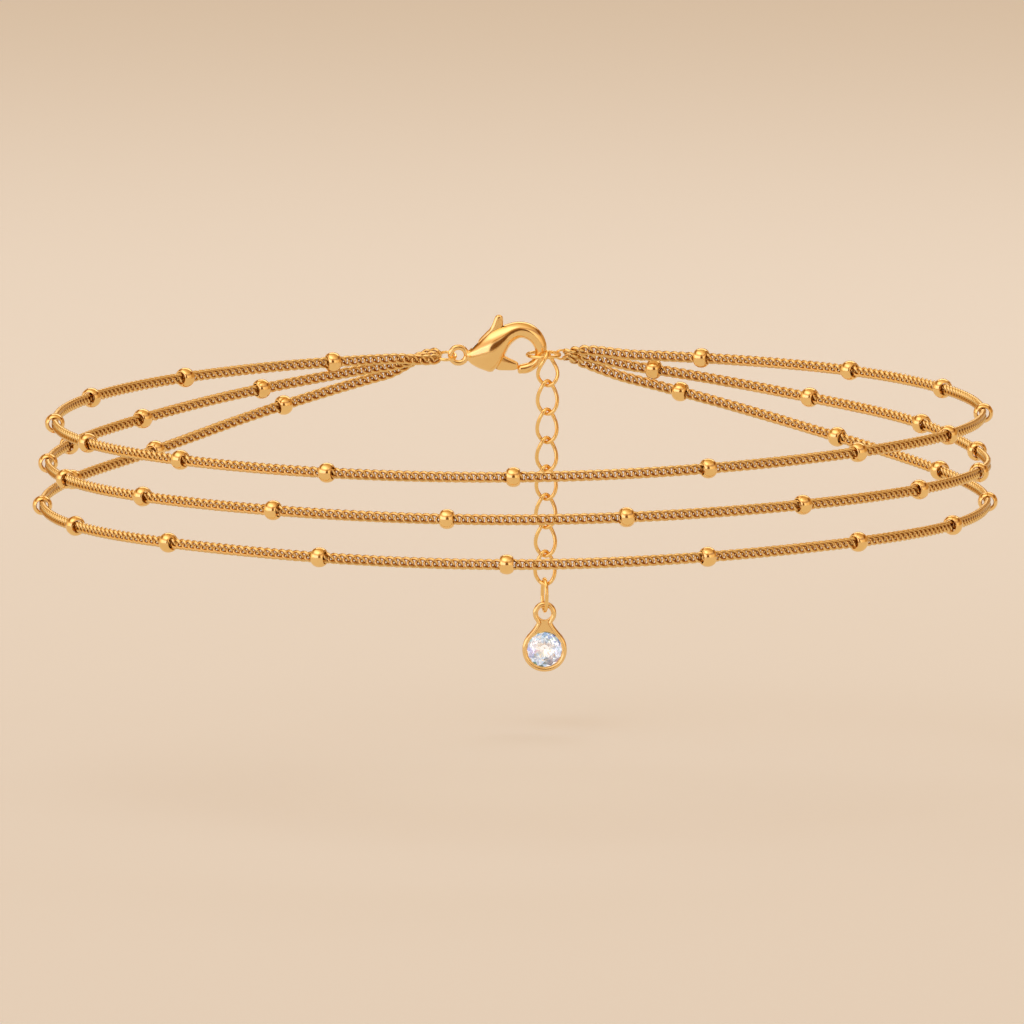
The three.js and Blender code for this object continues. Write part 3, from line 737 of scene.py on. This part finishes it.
def makeLever():
    # a plate with its front and back edges rounded over a quarter circle
    facts = leverSettings
    outline = cutCorners(np.array(facts["outline"]), facts["cornerPasses"])
    half, r = facts["thickness"] / 2, facts["rounding"]
    a = np.linspace(0, np.pi / 2, facts["roundSteps"])
    insets = r * (1 - np.sin(a))
    depths = half - r * (1 - np.cos(a))
    insets = np.concatenate([insets, insets[::-1]])
    depths = np.concatenate([-depths, depths[::-1]]) + claspPlane
    inward = inwardWays(outline)
    grid = layeredOutline([outline + inward * inset for inset in insets], depths)
    lever = makeSolid("claspLeverPlate", *cappedGrid(grid), golds["clasp"])
    pivot = claspSettings["pivot"]
    circle = circleOutline(pivot["x"], pivot["z"], pivot["bore"] / 2, pivot["steps"])
    bore = layeredOutline([circle, circle], [claspPlane - 1, claspPlane + 1])
    cutAway(lever, [makeSolid("boreCutter", *cappedGrid(bore), golds["clasp"])])
    sharpenEdges(lever, facts["sharp"])
    finishPiece(lever, "lever", ["clasp_lever"])


makeClaspBody()
makeLever()
print("clasp made")


# Drop

dropSettings = {
    "eyeOuter": 1.66,
    "eyeHole": 0.92,
    "eyeToStone": 2.58,
    "bezelOuter": 3.15,
    "neckWidth": 1.13,
    "neckBelowEye": 0.72,
    "shoulderTurn": 42,  # degrees up from level where the shoulder leaves the bezel
    "eyeTurn": -38,  # and where the eye takes over from the neck
    "shoulderReach": 0.36,  # how far the shoulder runs on straight from the bezel
    "thickness": 0.42,
    "rimWidth": 0.34,
    "plateFront": 0.19,  # how far the recessed plate lies behind the rim
    "cupOuter": 2.84,
    "cupDepth": 0.66,
    "cupEdge": [(0, 0.3), (0.06, 0.14), (0.2, 0.03), (0.36, 0)],  # in from its side and its back
    "backHole": 0.6,
    "eyeBand": {"width": 0.1, "front": 0.06, "rounding": 0.05},
    "paintedRimShade": (0.45, 4, 1.3),  # painted shade across the rim: where it is lightest, and how it darkens from there
    "rimSharp": 55,
    "plateSharp": 30,
    "play": 0.15,
    "stone": {
        "girdle": 2.46,
        "table": 1.42,
        "crown": 0.36,
        "girdleHeight": 0.05,
        "pavilion": 0.74,
        "pavilionRings": [0.78, 0.52, 0.26],
        "pavilionCurve": 1.15,
        "depth": 0.21,
        "seatPlay": 0.05,
    },
}


def placeOfDrop():
    # the eye hangs on the long ring's bottom wire, and the stone's centre lies below the eye's
    facts = dropSettings
    eyeTop = dropWire[2] + extenderSettings["ringWire"] / 2 + facts["play"]
    height = eyeTop - facts["eyeHole"] / 2 - facts["eyeToStone"]
    return np.array([dropWire[0], dropWire[1] - facts["thickness"] / 2, height])


dropPlace = placeOfDrop()


def arc(x, z, radius, start, end, steps):
    a = np.radians(np.linspace(start, end, steps))
    return np.stack([x + radius * np.cos(a), z + radius * np.sin(a)], axis=1)


def curveThrough(handles, steps):
    # a Bezier curve on three or four handles, its ends left out
    u = np.linspace(0, 1, steps + 2)[1:-1, None]
    level = [np.array(handle) + u * 0 for handle in handles]
    while len(level) > 1:
        level = [a * (1 - u) + b * u for a, b in zip(level, level[1:])]
    return level[0]


def dropOutline(inset):
    # the right half from the bottom of the bezel up the shoulder and neck to the top of the eye,
    # then its mirror image
    facts = dropSettings
    bezel = facts["bezelOuter"] / 2 - inset
    eyeRadius = facts["eyeOuter"] / 2 - inset
    neck = facts["neckWidth"] / 2 - inset
    neckZ = facts["eyeToStone"] - facts["neckBelowEye"]
    bezelPart = arc(0, 0, bezel, -90, facts["shoulderTurn"], 56)
    eyePart = arc(0, facts["eyeToStone"], eyeRadius, facts["eyeTurn"], 90, 36)
    turn = math.radians(facts["shoulderTurn"])
    flare = bezelPart[-1] + facts["shoulderReach"] * np.array([-math.sin(turn), math.cos(turn)])
    shoulder = curveThrough([bezelPart[-1], flare, (neck + 0.1, neckZ - 0.2), (neck, neckZ)], 14)
    throat = curveThrough([(neck, neckZ), (neck, neckZ + 0.1), eyePart[0]], 6)
    right = np.concatenate([bezelPart, shoulder, throat, eyePart])
    left = right[-2:0:-1] * (-1, 1)
    return np.concatenate([right, left])


def roundedBand(insetFrom, insetTo, front, back, rounding):
    # a closed section for a raised band: (inset, depth) round its rounded front and square back
    a = np.linspace(0, np.pi / 2, 5)
    outer = np.stack([insetFrom + rounding * (1 - np.cos(a)), front + rounding * (1 - np.sin(a))], axis=1)
    inner = np.stack([insetTo - rounding * (1 - np.cos(a)), front + rounding * (1 - np.sin(a))], axis=1)
    return np.concatenate([[(insetFrom, back)], outer, inner[::-1], [(insetTo, back)]])


def revolvedAboutY(section, steps):
    # a closed section of (radius, depth) turned about the Y axis
    outlines = [circleOutline(0, 0, radius, steps) for radius in section[:, 0]]
    return layeredOutline(outlines, section[:, 1])


def makeSetting():
    facts = dropSettings
    stone = facts["stone"]
    thickness = facts["thickness"]
    seat = stone["girdle"] / 2 + stone["seatPlay"]
    rim = roundedBand(0.0, facts["rimWidth"], 0.0, thickness, facts["rimWidth"] / 2 - 0.001)
    rimGrid = layeredOutline([dropOutline(inset) for inset in rim[:, 0]], rim[:, 1])
    lightest, fall, start = facts["paintedRimShade"]
    # painted shade: darker towards the rim's edges, away from its lightest line
    paintedRimShadeShare = np.clip(np.abs(rim[:, 0] / facts["rimWidth"] - lightest) * fall - start, 0, 1)
    band = facts["eyeBand"]
    eyeBand = roundedBand(0.0, band["width"], band["front"], thickness, band["rounding"])
    eyeGrid = revolvedAboutY(eyeBand + (facts["eyeHole"] / 2, 0), 48) + (0, 0, facts["eyeToStone"])
    back = thickness + facts["cupDepth"]
    side, hole = facts["cupOuter"] / 2, facts["backHole"] / 2
    cup = np.array([
        (side, thickness - 0.05),
        *[(side - inward, back - forward) for inward, forward in facts["cupEdge"]],
        (hole + 0.04, back),
        (hole, back - 0.05),
        (seat, stone["depth"] + stone["seatPlay"]),
        (seat, thickness - 0.1),
    ])
    cupGrid = revolvedAboutY(cup, 64)
    shells = [copiesOfGrid(grid[None]) for grid in (rimGrid, eyeGrid, cupGrid)]
    points, faces = joinedShells(shells)
    piece = makeSolid("dropRimAndCup", points + dropPlace, faces, golds["setting"])
    sharpenEdges(piece, facts["rimSharp"])
    # the painted shade lies on the rim only
    paintedShadeMask = np.zeros(len(points))
    paintedShadeMask[:rimGrid.shape[0] * rimGrid.shape[1]] = np.repeat(paintedRimShadeShare, rimGrid.shape[1])
    piece.data.attributes.new("paintedShadeMask", "FLOAT", "POINT").data.foreach_set("value", paintedShadeMask)
    finishPiece(piece, "drop", ["drop_setting"])

    outline = dropOutline(facts["rimWidth"] * 0.6)
    plateGrid = layeredOutline([outline, outline], [facts["plateFront"], thickness - 0.01])
    points, faces = cappedGrid(plateGrid)
    plate = makeSolid("dropPlate", points + dropPlace, faces, golds["setting"])
    eyeRadius = facts["eyeHole"] / 2 + 0.02
    cutters = []
    for name, z, radius in (("eyeCutter", facts["eyeToStone"], eyeRadius), ("seatCutter", 0, seat)):
        circle = circleOutline(0, z, radius, 64)
        points, faces = cappedGrid(layeredOutline([circle, circle], [-1, 2]))
        cutters.append(makeSolid(name, points + dropPlace, faces, golds["setting"]))
    cutAway(plate, cutters)
    sharpenEdges(plate, facts["plateSharp"])
    finishPiece(plate, "drop")


def ringOfPoints(radius, depth, count, turn):
    a = np.radians(turn) + np.arange(count) * 2 * np.pi / count
    return np.stack([radius * np.cos(a), np.full(count, float(depth)), radius * np.sin(a)], axis=1)


def brilliantShell():
    # a round brilliant's crown of table, 8 stars, 8 kites and 16 halves, each corner where the
    # kites' planes meet, over a pavilion of small triangles in rings that are turned half a step
    # from one to the next
    stone = dropSettings["stone"]
    girdle, table = stone["girdle"] / 2, stone["table"] / 2
    front = stone["depth"] - stone["girdleHeight"]
    starRadius = (girdle + table) / 2
    starRise = stone["crown"] * (girdle - starRadius * math.cos(math.pi / 8)) / (girdle - table)
    rings = [
        ringOfPoints(table, front - stone["crown"], 8, 0),
        ringOfPoints(starRadius, front - starRise, 8, 22.5),
        ringOfPoints(girdle, front, 16, 0),
        ringOfPoints(girdle, stone["depth"], 16, 0),
    ]
    shares = stone["pavilionRings"]
    for i, share in enumerate(shares):
        depth = stone["depth"] + stone["pavilion"] * (1 - share ** stone["pavilionCurve"])
        rings.append(ringOfPoints(girdle * share, depth, 16, 11.25 * ((i + 1) % 2)))
    rings.append(ringOfPoints(0.0, stone["depth"] + stone["pavilion"], 1, 0))
    star, upper, lower = 8, 16, 32
    faces = [list(range(8))]
    for k in range(8):
        side, next1, next2 = 2 * k, 2 * k + 1, (2 * k + 2) % 16
        faces.append([k, (k + 1) % 8, star + k])
        faces.append([k, star + (k - 1) % 8, upper + side, star + k])
        faces.append([star + k, upper + side, upper + next1])
        faces.append([star + k, upper + next1, upper + next2])
    for j in range(16):
        faces.append([upper + j, upper + (j + 1) % 16, lower + (j + 1) % 16, lower + j])
    for i in range(len(shares)):
        here, behind = lower + 16 * i, lower + 16 * (i + 1)
        for j in range(16):
            after = (j + 1) % 16
            if i % 2 == 0:
                faces.append([here + j, here + after, behind + j])
                faces.append([here + after, behind + after, behind + j])
            else:
                faces.append([here + j, here + after, behind + after])
                faces.append([here + j, behind + after, behind + j])
    last = lower + 16 * len(shares)
    faces.extend([last + j, last + (j + 1) % 16, last + 16] for j in range(16))
    return np.concatenate(rings), faces


stoneSettings = {
    "ior": 1.8,
    "foilRoughness": 0.08,
    "paintedGlow": 0.4,  # painted glow: light that comes out of the stone's back facets whatever they face
    "paintedFire": [  # painted reflections, coloured and dark: degrees round from the right, and the colour that the facets there lean to
        (0, (0.62, 0.8, 0.85)),
        (45, (0.12, 0.16, 0.5)),
        (95, (0.3, 0.5, 0.78)),
        (150, (0.45, 0.75, 0.85)),
        (190, (0.72, 0.55, 0.9)),
        (230, (0.2, 0.45, 0.28)),
        (275, (0.16, 0.15, 0.14)),
        (320, (0.5, 0.32, 0.36)),
        (360, (0.62, 0.8, 0.85)),
    ],
    "scatter": 0.618,  # of a whole turn, from one facet's share to the next one's
    "strong": 0.95,  # how far every other facet or so leans to its painted colour, and the rest
    "weak": 0.12,
    "spread": (1.7, 0.25, 0.05),  # how the painted colour comes on from the stone's middle to its edge
}


def clearFinish():
    material = bpy.data.materials.new("clearStoneFront")
    material.use_nodes = True
    shader = material.node_tree.nodes["Principled BSDF"]
    shader.inputs["Base Color"].default_value = (0.9, 0.96, 1.0, 1)
    shader.inputs["Roughness"].default_value = 0.0
    shader.inputs["Transmission Weight"].default_value = 1.0
    shader.inputs["IOR"].default_value = stoneSettings["ior"]
    return material


def foilWithPaintedFire():
    # the mirror behind the stone, each facet with its own share of the painted reflections, which it also
    # gives off as a painted glow
    material = bpy.data.materials.new("stoneFoilPaintedFire")
    material.use_nodes = True
    nodes = material.node_tree.nodes
    shader = nodes["Principled BSDF"]
    paintedFire = nodes.new("ShaderNodeAttribute")
    paintedFire.attribute_name = "paintedFire"
    material.node_tree.links.new(paintedFire.outputs["Color"], shader.inputs["Base Color"])
    # painted glow: the back facets give off their painted colour as light
    material.node_tree.links.new(paintedFire.outputs["Color"], shader.inputs["Emission Color"])
    shader.inputs["Emission Strength"].default_value = stoneSettings["paintedGlow"]
    shader.inputs["Metallic"].default_value = 1.0
    shader.inputs["Roughness"].default_value = stoneSettings["foilRoughness"]
    return material


def makeStone():
    points, faces = brilliantShell()
    stone = makeSolid("stoneBrilliant", points + dropPlace, faces, clearFinish(), smooth=False)
    mesh = stone.data
    mesh.materials.append(foilWithPaintedFire())
    behind = dropPlace[1] + dropSettings["stone"]["depth"] + 0.01
    deep = np.array([face.center.y / mm > behind for face in mesh.polygons])
    mesh.polygons.foreach_set("material_index", deep.astype(int))
    # painted reflections: a facet leans to the colour of its side of the stone, strongly or weakly in an
    # uneven order
    centres = np.array([face.center for face in mesh.polygons]) / mm - dropPlace
    turn = np.degrees(np.arctan2(centres[:, 2], centres[:, 0])) % 360
    stops = stoneSettings["paintedFire"]
    hues = np.array([color for _, color in stops])
    hue = np.stack([np.interp(turn, [at for at, _ in stops], hues[:, k]) for k in range(3)], axis=1)
    share = np.arange(len(centres)) * stoneSettings["scatter"] % 1
    outer = np.hypot(centres[:, 0], centres[:, 2]) / (dropSettings["stone"]["girdle"] / 2)
    slope, start, least = stoneSettings["spread"]
    lean = np.where(share > 0.5, stoneSettings["strong"], stoneSettings["weak"])
    share = (lean * np.clip(outer * slope - start, least, 1))[:, None]
    colors = np.column_stack([1 - share * (1 - hue), np.ones(len(centres))])
    sizes = np.array([len(face.vertices) for face in mesh.polygons])
    paintedFire = mesh.color_attributes.new("paintedFire", "FLOAT_COLOR", "CORNER")
    paintedFire.data.foreach_set("color", np.repeat(colors, sizes, axis=0).ravel())
    finishPiece(stone, "drop", ["drop_stone"])


makeSetting()
makeStone()
print("drop made")


# Stage, light and camera

stageSettings = {"floor": -26.0, "half": 4000.0, "pale": (0.84, 0.89, 0.94)}


def plainMaterial(name, color, roughness):
    material = bpy.data.materials.new(name)
    material.use_nodes = True
    shader = material.node_tree.nodes["Principled BSDF"]
    shader.inputs["Base Color"].default_value = (*color, 1)
    shader.inputs["Roughness"].default_value = roughness
    return material


def makeStage():
    # one plain pale floor, wide enough to fill the frame from any side above it
    half, level = stageSettings["half"], stageSettings["floor"]
    corners = [[-half, -half, level], [half, -half, level], [half, half, level], [-half, half, level]]
    paper = plainMaterial("palePaper", stageSettings["pale"], 0.9)
    floor = makeObject("paleFloor", np.array(corners), [[0, 1, 2, 3]], paper)


lightSettings = [
    # name, place in mm, size in mm, power in watts, colour
    ("keyLight", (-260, -160, 330), (560, 460), 0.32, (1.0, 0.98, 0.97)),
    ("fillLight", (300, -240, 160), (500, 500), 0.2, (1.0, 0.97, 0.93)),
    ("backLight", (60, 330, 260), (400, 160), 0.3, (1.0, 0.97, 0.92)),
]


roomSettings = {
    "strength": 1.5,
    "heights": [  # sine of the height above the horizon, and the room's colour there
        (0.0, (1.0, 0.9, 0.78)),
        (0.36, (1.0, 0.9, 0.78)),
        (0.48, (0.38, 0.19, 0.05)),
        (0.6, (0.38, 0.19, 0.05)),
        (0.78, (0.95, 0.86, 0.74)),
        (1.0, (1.0, 0.95, 0.88)),
    ],
    "window": (-0.66, -0.72, 0.2),  # the way towards the brightest side
    "sides": [  # 0 away from the window and 1 towards it, and what the room's colour is times
        (0.0, (0.36, 0.22, 0.1)),
        (0.5, (0.5, 0.34, 0.17)),
        (0.78, (0.82, 0.74, 0.63)),
        (0.9, (1.0, 1.0, 1.0)),
        (1.0, (0.98, 0.9, 1.15)),
    ],
    "shadow": (0.03, -0.985, 0.17),  # the dark place beside the camera
    "shadowEdge": [
        (0.968, (1.0, 1.0, 1.0)),
        (0.984, (0.13, 0.06, 0.02)),
    ],
}


def rampNode(nodes, stops):
    ramp = nodes.new("ShaderNodeValToRGB")
    while len(ramp.color_ramp.elements) < len(stops):
        ramp.color_ramp.elements.new(0.5)
    for element, (at, color) in zip(ramp.color_ramp.elements, stops):
        element.position = at
        element.color = (*color, 1)
    return ramp


def makeLights():
    for name, place, size, power, color in lightSettings:
        light = bpy.data.lights.new(name, "AREA")
        light.shape = "RECTANGLE"
        light.size, light.size_y = size[0] * mm, size[1] * mm
        light.energy = power
        light.color = color
        lamp = bpy.data.objects.new(name, light)
        lamp.location = [v * mm for v in place]
        lamp.rotation_euler = lamp.location.to_track_quat("Z", "Y").to_euler()
        bpy.context.scene.collection.objects.link(lamp)
    world = bpy.data.worlds.new("softRoom")
    world.use_nodes = True
    nodes = world.node_tree.nodes
    links = world.node_tree.links
    way = nodes.new("ShaderNodeTexCoord")
    apart = nodes.new("ShaderNodeSeparateXYZ")
    links.new(way.outputs["Generated"], apart.inputs["Vector"])
    room = rampNode(nodes, roomSettings["heights"])
    links.new(apart.outputs["Z"], room.inputs["Fac"])
    seen = room.outputs["Color"]
    for direction, stops in (("window", "sides"), ("shadow", "shadowEdge")):
        towards = nodes.new("ShaderNodeVectorMath")
        towards.operation = "DOT_PRODUCT"
        towards.inputs[1].default_value = roomSettings[direction]
        links.new(way.outputs["Generated"], towards.inputs[0])
        share = nodes.new("ShaderNodeMapRange")
        share.inputs["From Min"].default_value = -1.0
        links.new(towards.outputs["Value"], share.inputs["Value"])
        ramp = rampNode(nodes, roomSettings[stops])
        links.new(share.outputs["Result"], ramp.inputs["Fac"])
        times = nodes.new("ShaderNodeMix")
        times.data_type = "RGBA"
        times.blend_type = "MULTIPLY"
        times.inputs["Factor"].default_value = 1.0
        links.new(seen, times.inputs["A"])
        links.new(ramp.outputs["Color"], times.inputs["B"])
        seen = times.outputs["Result"]
    links.new(seen, nodes["Background"].inputs["Color"])
    nodes["Background"].inputs["Strength"].default_value = roomSettings["strength"]
    bpy.context.scene.world = world


cameraSettings = {
    "elevation": 7.3,
    "distance": 3000.0,
    "pixel": 0.07,  # millimetres that one of the picture's 1024 pixels spans
    "originAt": (519, 418.4),  # the picture's pixel that the wrist's axis meets
    "picture": 1024,
    "sensor": 36.0,
}


def makeCamera():
    facts = cameraSettings
    e = math.radians(facts["elevation"])
    back = np.array([0, -math.cos(e), math.sin(e)])
    up = np.array([0, math.sin(e), math.cos(e)])
    middle = facts["picture"] / 2
    dx = (middle - facts["originAt"][0]) * facts["pixel"]
    dy = (facts["originAt"][1] - middle) * facts["pixel"]
    data = bpy.data.cameras.new("longLens")
    data.sensor_width = facts["sensor"]
    data.lens = facts["sensor"] * facts["distance"] / (facts["picture"] * facts["pixel"])
    data.clip_start, data.clip_end = 0.05, 20.0
    camera = bpy.data.objects.new("longLens", data)
    camera.location = ((back * facts["distance"] + xAxis * dx + up * dy) * mm).tolist()
    camera.rotation_euler = (math.pi / 2 - e, 0, 0)
    bpy.context.scene.collection.objects.link(camera)
    bpy.context.scene.camera = camera


makeStage()
makeLights()
makeCamera()
bpy.context.scene.view_settings.view_transform = "Standard"
print("stage, light and camera made")
